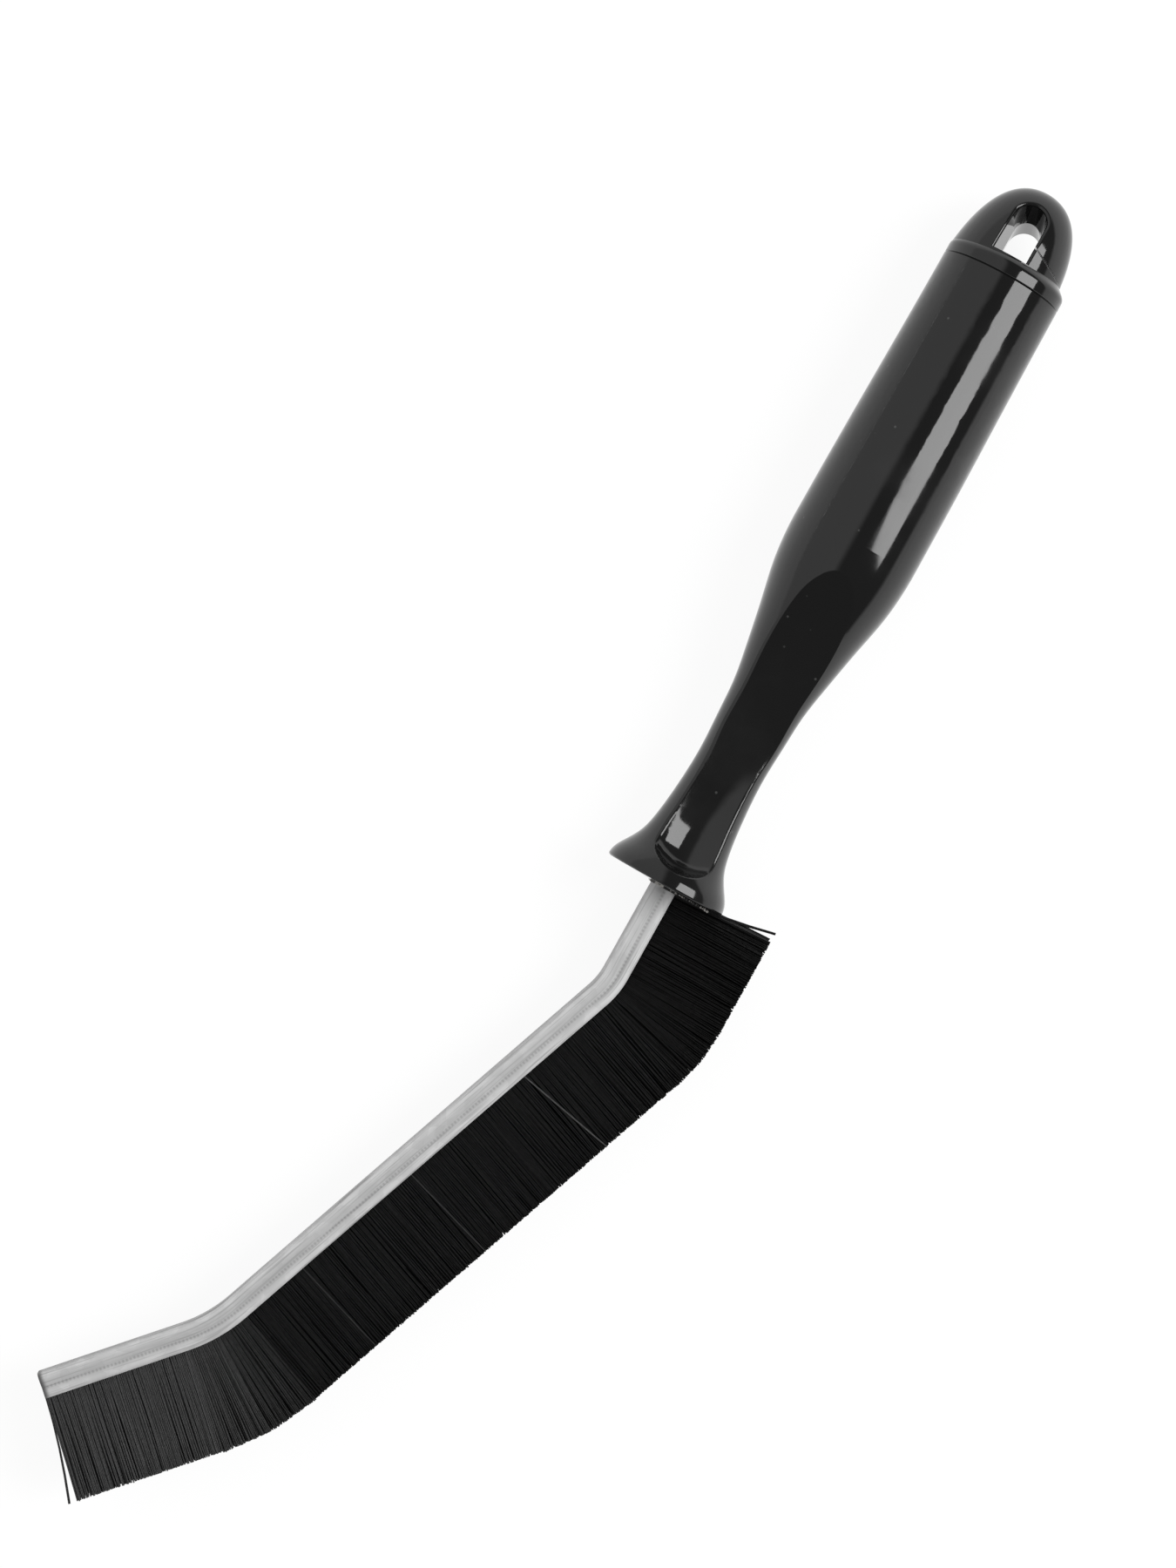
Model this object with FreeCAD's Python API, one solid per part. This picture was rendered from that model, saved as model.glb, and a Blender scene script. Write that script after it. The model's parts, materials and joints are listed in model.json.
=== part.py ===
"""Crevice brush: a bent strip brush with a moulded handle and a hanging hook. Millimetres.

The pieces are modelled about the handle's axis, with x counted from the back of the collar's lip, the
rim: +X towards the hook, +Y away from the bristles, +Z through the side that carries the thumb panel. At
the end the whole part is moved so that it lies on its side, with the origin under the middle of its box.
"""

import FreeCAD
import Part

import json
import math
import os

from FreeCAD import Vector

# Handle: one hollow moulding with a flared collar, a waisted neck and a barrel grip
HANDLE_LENGTH = 122.6
COLLAR_RADIUS = 11.55
COLLAR_LIP = 0.7
COLLAR_CROWN = 1.0
COLLAR_RIM_ROUND = 0.5
NECK_RADIUS = 6.4
NECK_FROM_RIM = 25.0
BARREL_RADIUS = 12.0
BARREL_FROM_RIM = 68.5
BARREL_TAPER = 0.6
BARREL_END_RADIUS = BARREL_RADIUS - BARREL_TAPER
SEAM_CHAMFER = 0.2

# Shape of the flare (rim to neck) and of the taper (neck to barrel): along, and outward from the neck
FLARE_SHARES = ((0.06, 0.913), (0.124, 0.728), (0.248, 0.388), (0.372, 0.23), (0.624, 0.077))
TAPER_SHARES = (
    (0.14, 0.054),
    (0.283, 0.121),
    (0.428, 0.304),
    (0.641, 0.625),
    (0.784, 0.857),
    (0.929, 0.982),
)
BARREL_POLE_SHARES = ((0.35, 0.0), (0.65, 0.85))

# Thumb panels: a spoon on each side of the neck, scooped at the collar and flat where it meets the barrel
PANEL_HALF_THICKNESS = 3.65
PANEL_EDGE_ROUND = 0.7
PANEL_CUT_HALF_WIDTH = 8.0
PANEL_WIDTH_SHARES = (-1, -0.66, -0.33, 0, 0.33, 0.66, 1)
PANEL_STATIONS = 6
DISH_FROM_RIM = 11.7
DISH_ACROSS_RADIUS = 9.2
DISH_FLOOR_RADIUS = 17.5
DISH_FLOOR_ANGLE = 18.0
DISH_END_RADIUS = 5.4
DISH_WALL_ANGLE = 82.0
DISH_WALL_LENGTH = 3.0
SCOOP_END_FROM_RIM = 28.0
PANEL_RISE_ANGLE = 1.2
RAMP_FROM_RIM = 42.9
RAMP_ANGLE = 20.5
RAMP_BLEND_RADIUS = 90.0

# Hollow of the handle, open at the barrel's end
BARREL_WALL = 2.2
HOLLOW_SHOULDER_FROM_RIM = 66.0
HOLLOW_TIP_FROM_RIM = 50.0
HOLLOW_TIP_RADIUS = 4.6

# Hook cap: a plug that snaps into the barrel, with a domed hook that is open at one foot
CAP_LENGTH = 17.7
CAP_TURN = 9.0
DOME_STEP = 0.75
DOME_RADIUS = BARREL_END_RADIUS - DOME_STEP
DOME_FROM_SEAM = 1.0
DOME_LENGTH = CAP_LENGTH - DOME_FROM_SEAM
DOME_LEAN = 2.2
DOME_TAPER = 0.4
DOME_SIDE_SHARE = 0.41
DOME_TOP_SHARE = 0.78
RING_HEIGHT = 3.5
RING_STRAIGHT = 1.6
RING_LENGTH = 4.7
RING_SLOPE = 1.9
RING_POLE_SHARE = 0.45
EYE_HALF_WIDTH = 2.45
EYE_TOP = 11.7
EYE_SIDE_DRAFT = 4.5
EYE_FRONT_DRAFT = 17.0
EYE_BACK_DRAFT = 4.0
EYE_EDGE_ROUND = 0.5
SLIT_WIDTH = 0.35
SLIT_INNER_HEIGHT = 3.6
PLUG_LENGTH = 12.0
PLUG_WALL = 1.7
PLUG_CLEARANCE = 0.05
SNAP_FROM_SEAM = 8.0
SNAP_HEIGHT = 0.35
SNAP_WIDTH = 1.6

# Strip: its centreline leaves the handle straight and bends away from the bristles twice
HEEL_RUN = 21.1
MIDDLE_RUN = 93.0
TOE_RUN = 32.3
HEEL_BEND_ANGLE = 20.0
TOE_BEND_ANGLE = 22.3
HEEL_BEND_RADIUS = 15.0
TOE_BEND_RADIUS = 28.0
TANG_LENGTH = 28.0

# Channel of folded sheet steel, open towards the bristles
CHANNEL_HEIGHT = 4.7
CHANNEL_WIDTH = 5.0
CHANNEL_WAIST_WIDTH = 4.4
CHANNEL_LIP_WIDTH = 4.7
CHANNEL_BACK_ROUND = 1.0
CHANNEL_INNER_ROUND = 0.4
SHEET = 0.5
CHANNEL_HEIGHT_SHARES = {"shoulder": 0.36, "waist": 0.56, "lip": 0.78}

# Core wire, and the filaments folded round it
WIRE_RADIUS = 0.8
FOLD_OVER_WIRE = 0.45
FILAMENT_FIT = 0.02

# Free bristles, in bundles that flex at the channel's lips
BRISTLE_LENGTH = 19.0
BRISTLE_TIP_HALF_THICKNESS = 3.4
BUNDLE_ROOT_RADIUS = 1.6
BUNDLE_PITCH = 10.5
BUNDLE_BEND_ANGLE = 11.5
BUNDLE_GAP = 0.5
LIP_CLEARANCE = 0.3
HEEL_MARGIN = 1.4
TUFT_PITCH = 2.1
PARTING_WIDTH = 0.6
PARTING_DEPTH = 0.7
PARTING_FROM_LIP = 3.5

# Adhesive that holds the tang in the handle's socket, with a bead on the collar's face
ADHESIVE_THICKNESS = 0.4
ADHESIVE_DEPTH_BEHIND_TANG = 1.0
BEAD_HEIGHT = 0.3
BEAD_REACH = 0.8

OVERRUN = 2.0
QUARTER_ROUND_SHARE = 0.5523

AXIS_X = Vector(1, 0, 0)
AXIS_Z = Vector(0, 0, 1)
ORIGIN = Vector(0, 0, 0)
BORE_RADIUS = BARREL_END_RADIUS - BARREL_WALL


def line(start, end):
    return Part.LineSegment(start, end).toShape()


def arc(start, middle, end):
    return Part.Arc(start, middle, end).toShape()


def bezier(*poles):
    curve = Part.BezierCurve()
    curve.setPoles(list(poles))
    return curve.toShape()


def polygon(points):
    return Part.makePolygon([*points, points[0]])


def turned(edges):
    """Solid of revolution about the handle's axis."""
    return Part.Face(Part.Wire(edges)).revolve(ORIGIN, AXIS_X, 360)


def between(low, high, share):
    return low + (high - low) * share


# Handle


def handle_outline():
    """Half outline of the handle, from the middle of the collar's face round to the barrel's end."""
    face_edge = COLLAR_RADIUS - COLLAR_RIM_ROUND
    half_round = COLLAR_RIM_ROUND * math.sqrt(0.5)
    rise = COLLAR_CROWN - COLLAR_LIP
    crown_radius = (face_edge**2 + rise**2) / (2 * rise)
    half_angle = math.asin(face_edge / crown_radius) / 2
    crown_middle = Vector(
        crown_radius * (1 - math.cos(half_angle)) - COLLAR_CROWN, crown_radius * math.sin(half_angle), 0
    )
    rim_start = Vector(-COLLAR_LIP, face_edge, 0)
    rim_middle = rim_start + Vector(COLLAR_RIM_ROUND - half_round, half_round, 0)
    rim_end = rim_start + Vector(COLLAR_RIM_ROUND, COLLAR_RIM_ROUND, 0)

    points = [rim_end]
    for along, outward in FLARE_SHARES:
        points.append(Vector(NECK_FROM_RIM * along, between(NECK_RADIUS, COLLAR_RADIUS, outward), 0))
    points.append(Vector(NECK_FROM_RIM, NECK_RADIUS, 0))
    for along, outward in TAPER_SHARES:
        x = between(NECK_FROM_RIM, BARREL_FROM_RIM, along)
        points.append(Vector(x, between(NECK_RADIUS, BARREL_RADIUS, outward), 0))
    barrel_start = Vector(BARREL_FROM_RIM, BARREL_RADIUS, 0)
    points.append(barrel_start)
    waist = Part.BSplineCurve()
    waist.interpolate(Points=points)

    barrel_end = Vector(HANDLE_LENGTH - SEAM_CHAMFER, BARREL_END_RADIUS, 0)
    poles = []
    for along, drop in BARREL_POLE_SHARES:
        x = between(barrel_start.x, barrel_end.x, along)
        poles.append(Vector(x, between(BARREL_RADIUS, BARREL_END_RADIUS, drop), 0))
    seam_edge = Vector(HANDLE_LENGTH, BARREL_END_RADIUS - SEAM_CHAMFER, 0)
    face_middle = Vector(-COLLAR_CROWN, 0, 0)
    end_middle = Vector(HANDLE_LENGTH, 0, 0)
    return [
        arc(face_middle, crown_middle, rim_start),
        arc(rim_start, rim_middle, rim_end),
        waist.toShape(),
        bezier(barrel_start, *poles, barrel_end),
        line(barrel_end, seam_edge),
        line(seam_edge, end_middle),
        line(end_middle, face_middle),
    ]


def handle_hollow():
    """Core of the barrel: a bore with a tapered end and a groove for the cap's snap bead."""
    corners = [
        Vector(HOLLOW_TIP_FROM_RIM, 0, 0),
        Vector(HOLLOW_TIP_FROM_RIM, HOLLOW_TIP_RADIUS, 0),
        Vector(HOLLOW_SHOULDER_FROM_RIM, BORE_RADIUS, 0),
        Vector(HANDLE_LENGTH + OVERRUN, BORE_RADIUS, 0),
        Vector(HANDLE_LENGTH + OVERRUN, 0, 0),
    ]
    return turned(polygon(corners).Edges).fuse(snap_ring(BORE_RADIUS, 0))


def snap_ring(radius, clearance):
    """Ring with a pointed section: the cap's snap bead, or the groove that it clicks into."""
    middle = HANDLE_LENGTH - SNAP_FROM_SEAM
    half_width = SNAP_WIDTH / 2 - clearance
    inner = BORE_RADIUS - PLUG_WALL / 2
    corners = [
        Vector(middle - half_width, inner, 0),
        Vector(middle - half_width, radius, 0),
        Vector(middle, radius + SNAP_HEIGHT, 0),
        Vector(middle + half_width, radius, 0),
        Vector(middle + half_width, inner, 0),
    ]
    return turned(polygon(corners).Edges)


def leaning(angle):
    """Normal of a thumb panel that leans towards the hook by an angle."""
    return Vector(math.sin(math.radians(angle)), 0, math.cos(math.radians(angle)))


def onward(angle):
    """Way along a thumb panel, towards the hook, where its normal leans by an angle."""
    normal = leaning(angle)
    return Vector(normal.z, 0, -normal.x)


def round_stretch(centre, radius, start_lean, end_lean):
    """Points on an arc down the middle of a panel, each with its normal, without the last."""
    stations = []
    for step in range(PANEL_STATIONS):
        normal = leaning(between(start_lean, end_lean, step / PANEL_STATIONS))
        stations.append((centre - normal * radius, normal))
    return stations


def straight_stretch(start, lean, length):
    """Points on a straight line down the middle of a panel, each with its normal, without the last."""
    step = onward(lean) * (length / PANEL_STATIONS)
    return [(start + step * count, leaning(lean)) for count in range(PANEL_STATIONS)]


def panel_profile():
    """Middle of a thumb panel from the collar to the barrel: wall, dish, gentle rise, blend and ramp."""
    rise, ramp = -PANEL_RISE_ANGLE, -RAMP_ANGLE
    floor_centre = Vector(DISH_FROM_RIM, 0, PANEL_HALF_THICKNESS + DISH_FLOOR_RADIUS)
    end_centre = floor_centre - leaning(DISH_FLOOR_ANGLE) * (DISH_FLOOR_RADIUS - DISH_END_RADIUS)
    wall_end = end_centre - leaning(DISH_WALL_ANGLE) * DISH_END_RADIUS
    wall_start = wall_end - onward(DISH_WALL_ANGLE) * DISH_WALL_LENGTH
    rise_start = floor_centre - leaning(rise) * DISH_FLOOR_RADIUS
    blend_reach = RAMP_BLEND_RADIUS * math.tan(math.radians(rise - ramp) / 2)
    rise_length = (RAMP_FROM_RIM - rise_start.x) / onward(rise).x - blend_reach
    blend_centre = rise_start + onward(rise) * rise_length + leaning(rise) * RAMP_BLEND_RADIUS
    ramp_start = blend_centre - leaning(ramp) * RAMP_BLEND_RADIUS
    return [
        *straight_stretch(wall_start, DISH_WALL_ANGLE, DISH_WALL_LENGTH),
        *round_stretch(end_centre, DISH_END_RADIUS, DISH_WALL_ANGLE, DISH_FLOOR_ANGLE),
        *round_stretch(floor_centre, DISH_FLOOR_RADIUS, DISH_FLOOR_ANGLE, rise),
        *straight_stretch(rise_start, rise, rise_length),
        *round_stretch(blend_centre, RAMP_BLEND_RADIUS, rise, ramp),
        *straight_stretch(ramp_start, ramp, BARREL_RADIUS),
    ]


def panel_cutter():
    """What is cut away above one thumb panel: a surface scooped across its width, carried straight up."""
    rows = []
    for point, normal in panel_profile():
        fade = (point.x - DISH_FROM_RIM) / (SCOOP_END_FROM_RIM - DISH_FROM_RIM)
        curvature = (1 - min(max(fade, 0), 1)) / DISH_ACROSS_RADIUS
        row = []
        for share in PANEL_WIDTH_SHARES:
            y = PANEL_CUT_HALF_WIDTH * share
            row.append(point + Vector(0, y, 0) + normal * (curvature * y**2 / 2))
        rows.append(row)
    surface = Part.BSplineSurface()
    surface.interpolate(rows)
    return surface.toShape().extrude(AXIS_Z * (BARREL_RADIUS + COLLAR_RADIUS))


def socket():
    """Pocket in the collar that takes the tang and its adhesive."""
    front = -(COLLAR_CROWN + OVERRUN)
    depth = TANG_LENGTH + ADHESIVE_DEPTH_BEHIND_TANG - front
    return Part.Face(around_tang(front, ADHESIVE_THICKNESS)).extrude(Vector(depth, 0, 0))


def curved_edges(shape):
    """Edges where a cut runs out through a turned surface, with the outline of that surface."""
    edges = [edge for edge in shape.Edges if not edge.Degenerated]
    return [edge for edge in edges if isinstance(edge.Curve, Part.BSplineCurve)]


def panel_edges(shell):
    return [edge for edge in curved_edges(shell) if abs(edge.CenterOfMass.z) > PANEL_EDGE_ROUND]


def handle_shell():
    shell = turned(handle_outline())
    cutter = panel_cutter()
    shell = shell.cut(cutter).cut(cutter.mirror(ORIGIN, AXIS_Z))
    shell = shell.makeFillet(PANEL_EDGE_ROUND, panel_edges(shell))
    return shell.cut(handle_hollow()).cut(socket())


# Hook cap


def eye_outline(z):
    """Arch at height z: a flat foot on the ring, straight sides, a round top that sinks towards the back."""
    half_width = EYE_HALF_WIDTH + abs(z) * math.tan(math.radians(EYE_SIDE_DRAFT))
    top_draft = EYE_FRONT_DRAFT if z > 0 else EYE_BACK_DRAFT
    top = EYE_TOP + z * math.tan(math.radians(top_draft))
    foot = HANDLE_LENGTH + RING_HEIGHT
    spring = HANDLE_LENGTH + top - half_width
    diagonal = half_width * math.sqrt(0.5)
    return Part.Wire([
        line(Vector(foot, half_width, z), Vector(foot, -half_width, z)),
        line(Vector(foot, -half_width, z), Vector(spring, -half_width, z)),
        arc(
            Vector(spring, -half_width, z),
            Vector(spring + diagonal, -diagonal, z),
            Vector(spring + half_width, 0, z),
        ),
        arc(
            Vector(spring + half_width, 0, z),
            Vector(spring + diagonal, diagonal, z),
            Vector(spring, half_width, z),
        ),
        line(Vector(spring, half_width, z), Vector(foot, half_width, z)),
    ])


def eye_cutter():
    """Eye with a ridge at mid depth, where the two mould cores met."""
    reach = DOME_RADIUS + OVERRUN
    return Part.makeLoft([eye_outline(z) for z in (-reach, 0, reach)], True, True)


def slit_cutter():
    """Thin slit that opens the hook on the bristle side: it slants from the eye down to the ring's ledge."""
    foot = HANDLE_LENGTH + RING_HEIGHT
    mouth = (CAP_LENGTH - RING_HEIGHT) * math.tan(math.radians(DOME_LEAN)) - DOME_RADIUS
    outside = -(BARREL_END_RADIUS + OVERRUN)
    slope = SLIT_INNER_HEIGHT / (-EYE_HALF_WIDTH - mouth)
    height_middle = SLIT_INNER_HEIGHT + slope * EYE_HALF_WIDTH
    corners = [
        Vector(foot + height_middle, 0, 0),
        Vector(foot, mouth, 0),
        Vector(foot, outside, 0),
        Vector(foot + SLIT_WIDTH, outside, 0),
        Vector(foot + SLIT_WIDTH, mouth, 0),
        Vector(foot + height_middle + SLIT_WIDTH, 0, 0),
    ]
    reach = BARREL_END_RADIUS + OVERRUN
    slit = Part.Face(polygon(corners)).extrude(Vector(0, 0, 2 * reach))
    slit.translate(Vector(0, 0, -reach))
    return slit


def cap_ring():
    """Turned ring that carries on the barrel and slopes in under the dome."""
    seam = HANDLE_LENGTH
    ring_start = Vector(seam + SEAM_CHAMFER, BARREL_END_RADIUS, 0)
    shoulder = Vector(seam + RING_STRAIGHT, BARREL_END_RADIUS, 0)
    ring_end = Vector(seam + RING_LENGTH, BARREL_END_RADIUS - RING_SLOPE, 0)
    pole = Vector((ring_end.x - shoulder.x) * RING_POLE_SHARE, 0, 0)
    seam_edge = Vector(seam, BARREL_END_RADIUS - SEAM_CHAMFER, 0)
    seam_middle = Vector(seam, 0, 0)
    end_middle = Vector(ring_end.x, 0, 0)
    return turned([
        line(seam_middle, seam_edge),
        line(seam_edge, ring_start),
        line(ring_start, shoulder),
        bezier(shoulder, shoulder + pole, ring_end - pole, ring_end),
        line(ring_end, end_middle),
        line(end_middle, seam_middle),
    ])


def cap_dome():
    """Turned bullet shape that leans away from the slit, so that the ledge shows beside the slit alone."""
    top = Vector(HANDLE_LENGTH + CAP_LENGTH, 0, 0)
    foot_middle = top - AXIS_X * DOME_LENGTH
    foot = foot_middle + Vector(0, DOME_RADIUS, 0)
    dome = turned([
        line(foot_middle, foot),
        bezier(
            foot,
            foot + Vector(DOME_LENGTH * DOME_SIDE_SHARE, -DOME_TAPER, 0),
            top + Vector(0, DOME_RADIUS * DOME_TOP_SHARE, 0),
            top,
        ),
        line(top, foot_middle),
    ])
    dome.rotate(top, AXIS_Z, -DOME_LEAN)
    return dome.fuse(cap_ring())


def mouth_edges(dome):
    """Edges of the eye's two mouths, apart from the foot that lies on the ring."""
    clear_of_foot = HANDLE_LENGTH + RING_HEIGHT + EYE_EDGE_ROUND
    return [
        edge
        for edge in curved_edges(dome)
        if edge.BoundBox.XMax > clear_of_foot and min(abs(v.Point.z) for v in edge.Vertexes) > EYE_HALF_WIDTH
    ]


def hook_cap():
    dome = cap_dome().cut(eye_cutter())
    dome = dome.makeFillet(EYE_EDGE_ROUND, mouth_edges(dome))
    dome = dome.cut(slit_cutter())

    seam = HANDLE_LENGTH
    outer = BORE_RADIUS - PLUG_CLEARANCE
    inner = outer - PLUG_WALL
    skirt = turned(polygon([
        Vector(seam - PLUG_LENGTH, inner, 0),
        Vector(seam - PLUG_LENGTH, outer, 0),
        Vector(seam, outer, 0),
        Vector(seam, inner, 0),
    ]).Edges)
    bead = snap_ring(outer, PLUG_CLEARANCE)
    cap = dome.fuse([skirt, bead]).removeSplitter()
    cap.rotate(ORIGIN, AXIS_X, -CAP_TURN)
    return cap


# Strip


def strip_path():
    """Centreline of the channel from the end of the tang to the toe."""
    edges = []
    for stretch in strip_stretches(-TANG_LENGTH):
        start = stretch_point(stretch, 0, 0)
        end = stretch_point(stretch, 1, 0)
        if stretch["turn"]:
            edges.append(arc(start, stretch_point(stretch, 0.5, 0), end))
        else:
            edges.append(line(start, end))
    return Part.Wire(edges)


def strip_stretches(first_x):
    """Straight runs and bends of the centreline, in order, from first_x before the collar's rim to the toe.

    Each holds its start, the heading there, its length, the angle that it turns away from the bristles and
    the radius of that turn.
    """
    heel_turn = math.radians(HEEL_BEND_ANGLE)
    toe_turn = math.radians(TOE_BEND_ANGLE)
    heel_tangent = HEEL_BEND_RADIUS * math.tan(heel_turn / 2)
    toe_tangent = TOE_BEND_RADIUS * math.tan(toe_turn / 2)
    plan = [
        (HEEL_RUN - heel_tangent - first_x, 0, 0),
        (HEEL_BEND_RADIUS * heel_turn, heel_turn, HEEL_BEND_RADIUS),
        (MIDDLE_RUN - heel_tangent - toe_tangent, 0, 0),
        (TOE_BEND_RADIUS * toe_turn, toe_turn, TOE_BEND_RADIUS),
        (TOE_RUN - toe_tangent, 0, 0),
    ]
    stretches = []
    start = Vector(-first_x, 0, 0)
    heading = 0
    for length, turn, radius in plan:
        stretch = {"start": start, "heading": heading, "length": length, "turn": turn, "radius": radius}
        stretches.append(stretch)
        start = stretch_point(stretch, 1, 0)
        heading += turn
    return stretches


def direction(heading):
    """Way along the strip, towards the toe."""
    return Vector(-math.cos(heading), math.sin(heading), 0)


def outward(heading):
    """Way that the bristles point."""
    return Vector(-math.sin(heading), -math.cos(heading), 0)


def stretch_point(stretch, share, offset):
    """Point at a share of the stretch's length, moved towards the bristles by offset."""
    heading = stretch["heading"]
    if not stretch["turn"]:
        on_line = stretch["start"] + direction(heading) * (stretch["length"] * share)
        return on_line + outward(heading) * offset
    centre = stretch["start"] - outward(heading) * stretch["radius"]
    return centre + outward(heading + stretch["turn"] * share) * (stretch["radius"] + offset)


def swept(section):
    """Sweeps a closed wire along the strip. The section stands across the end of the tang."""
    solid = strip_path().makePipeShell([section], True, False)
    return solid if solid.Volume > 0 else solid.reversed()


def section_point(height, z):
    """Point of a section across the tang's end: height from the channel's back, z across it."""
    return Vector(TANG_LENGTH, CHANNEL_HEIGHT / 2 - height, z)


def channel_sides(inset):
    """Half widths of the channel at its shoulder, waist and lip, taken in by inset, with their heights."""
    heights = {name: CHANNEL_HEIGHT * share for name, share in CHANNEL_HEIGHT_SHARES.items()}
    return [
        (heights["shoulder"], CHANNEL_WIDTH / 2 - inset),
        (heights["waist"], CHANNEL_WAIST_WIDTH / 2 - inset),
        (heights["lip"], CHANNEL_LIP_WIDTH / 2 - inset),
        (CHANNEL_HEIGHT, CHANNEL_LIP_WIDTH / 2 - inset),
    ]


def side_lines(inset, sign):
    """Points down one side of the channel, from the shoulder to the lip."""
    return [section_point(height, sign * half) for height, half in channel_sides(inset)]


def back_corner(inset, sign):
    """Rounded corner between the channel's back and one side, as start, middle and end."""
    back = inset
    radius = max(CHANNEL_BACK_ROUND - inset, CHANNEL_INNER_ROUND)
    half = CHANNEL_WIDTH / 2 - inset
    diagonal = radius * (1 - math.sqrt(0.5))
    return (
        section_point(back, sign * (half - radius)),
        section_point(back + diagonal, sign * (half - diagonal)),
        section_point(back + radius, sign * half),
    )


def channel_outline(inset):
    """Edges of the channel's section, from the far lip round the back to the near lip."""
    near, far = back_corner(inset, 1), back_corner(inset, -1)
    near_side, far_side = side_lines(inset, 1), side_lines(inset, -1)
    edges = []
    down_far = [far[2], *far_side]
    for start, end in zip(reversed(down_far), reversed(down_far[:-1])):
        edges.append(line(start, end))
    edges.append(arc(far[2], far[1], far[0]))
    edges.append(line(far[0], near[0]))
    edges.append(arc(near[0], near[1], near[2]))
    down_near = [near[2], *near_side]
    for start, end in zip(down_near, down_near[1:]):
        edges.append(line(start, end))
    edges.append(line(near_side[-1], far_side[-1]))
    return edges


def strip_channel():
    envelope = swept(Part.Wire(channel_outline(0)))
    inside = swept(Part.Wire(channel_outline(SHEET)))
    return envelope.cut(inside)


def wire_section(radius):
    centre = section_point(SHEET + FOLD_OVER_WIRE + WIRE_RADIUS, 0)
    return Part.Wire([Part.Circle(centre, AXIS_X, radius).toShape()])


def core_wire():
    return swept(wire_section(WIRE_RADIUS))


def filament_fold():
    """Filaments where they are folded round the core wire and clamped in the channel."""
    pack = swept(Part.Wire(channel_outline(SHEET + FILAMENT_FIT)))
    return pack.cut(swept(wire_section(WIRE_RADIUS + FILAMENT_FIT)))


def around_tang(x, margin):
    """Rectangle round the tang, square to the handle's axis at x."""
    half_height = CHANNEL_HEIGHT / 2 + margin
    half_width = CHANNEL_WIDTH / 2 + margin
    return polygon([
        Vector(x, -half_height, -half_width),
        Vector(x, half_height, -half_width),
        Vector(x, half_height, half_width),
        Vector(x, -half_height, half_width),
    ])


def adhesive():
    """Fills the socket round the tang and stands proud of the collar's face in a small bead."""
    bead_top = -(COLLAR_CROWN + BEAD_HEIGHT)
    socket_end = TANG_LENGTH + ADHESIVE_DEPTH_BEHIND_TANG
    fill = Part.Face(around_tang(bead_top, ADHESIVE_THICKNESS)).extrude(Vector(socket_end - bead_top, 0, 0))
    foot = around_tang(0, ADHESIVE_THICKNESS + BEAD_REACH)
    bead = Part.makeLoft([foot, around_tang(bead_top, ADHESIVE_THICKNESS)], True, True)
    bead = bead.cut(turned(handle_outline()))
    return fill.fuse(bead).cut(swept(Part.Wire(channel_outline(0)))).removeSplitter()


# Bristle bundles


def bundle_plan():
    """One entry per bundle from heel to toe: its root chord on the lips, and how far it fans out."""
    plan = []
    for stretch in strip_stretches(HEEL_MARGIN):
        if stretch["turn"]:
            count = math.ceil(math.degrees(stretch["turn"]) / BUNDLE_BEND_ANGLE)
        else:
            count = max(1, round(stretch["length"] / BUNDLE_PITCH))
        for index in range(count):
            middle = (index + 0.5) / count
            plan.append({
                "heading": stretch["heading"] + stretch["turn"] * middle,
                "lip": stretch_point(stretch, middle, CHANNEL_HEIGHT / 2),
                "width": stretch["length"] / count,
                "turn": stretch["turn"] / count,
                "lip_radius": stretch["radius"] + CHANNEL_HEIGHT / 2,
            })
    return plan


def hinge_point(bundle):
    return bundle["lip"] + outward(bundle["heading"]) * (LIP_CLEARANCE + BUNDLE_ROOT_RADIUS)


def bundle_fan(bundle):
    """Half the bundle's width on the lips, and how much that grows per length of bristle."""
    half_fan = math.tan(bundle["turn"] / 2)
    half_lip = bundle["lip_radius"] * half_fan if bundle["turn"] else bundle["width"] / 2
    return half_lip, half_fan


def bundle_section(bundle):
    """Bundle cut across the strip: a round root about the hinge line, thickening towards the tips."""
    hinge, out = hinge_point(bundle), outward(bundle["heading"])
    reach = BRISTLE_LENGTH - LIP_CLEARANCE - BUNDLE_ROOT_RADIUS
    root, tip = BUNDLE_ROOT_RADIUS, BRISTLE_TIP_HALF_THICKNESS

    def across(distance, z):
        return hinge + out * distance + AXIS_Z * z

    return Part.Wire([
        arc(across(0, root), across(-root, 0), across(0, -root)),
        line(across(0, -root), across(reach, -tip)),
        line(across(reach, -tip), across(reach, tip)),
        line(across(reach, tip), across(0, root)),
    ])


def bundle_plan_view(bundle):
    """Bundle seen from above: straight, or fanned out where the strip bends."""
    along, out = direction(bundle["heading"]), outward(bundle["heading"])
    half_lip, half_fan = bundle_fan(bundle)

    def corner(side, distance):
        half = half_lip + half_fan * distance - BUNDLE_GAP / 2
        return bundle["lip"] + out * distance + along * (side * half)

    past = BRISTLE_LENGTH + OVERRUN
    return polygon([corner(1, 0), corner(1, past), corner(-1, past), corner(-1, 0)])


def parting(start, end, up, side):
    """V-shaped cutter whose bottom edge runs through two points and past both."""
    run = (end - start).normalize() * OVERRUN
    foot = start - run
    top = foot + up * (2 * PARTING_DEPTH)
    section = polygon([foot, top + side * PARTING_WIDTH, top - side * PARTING_WIDTH])
    return Part.Face(section).extrude(end - start + run * 2)


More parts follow.
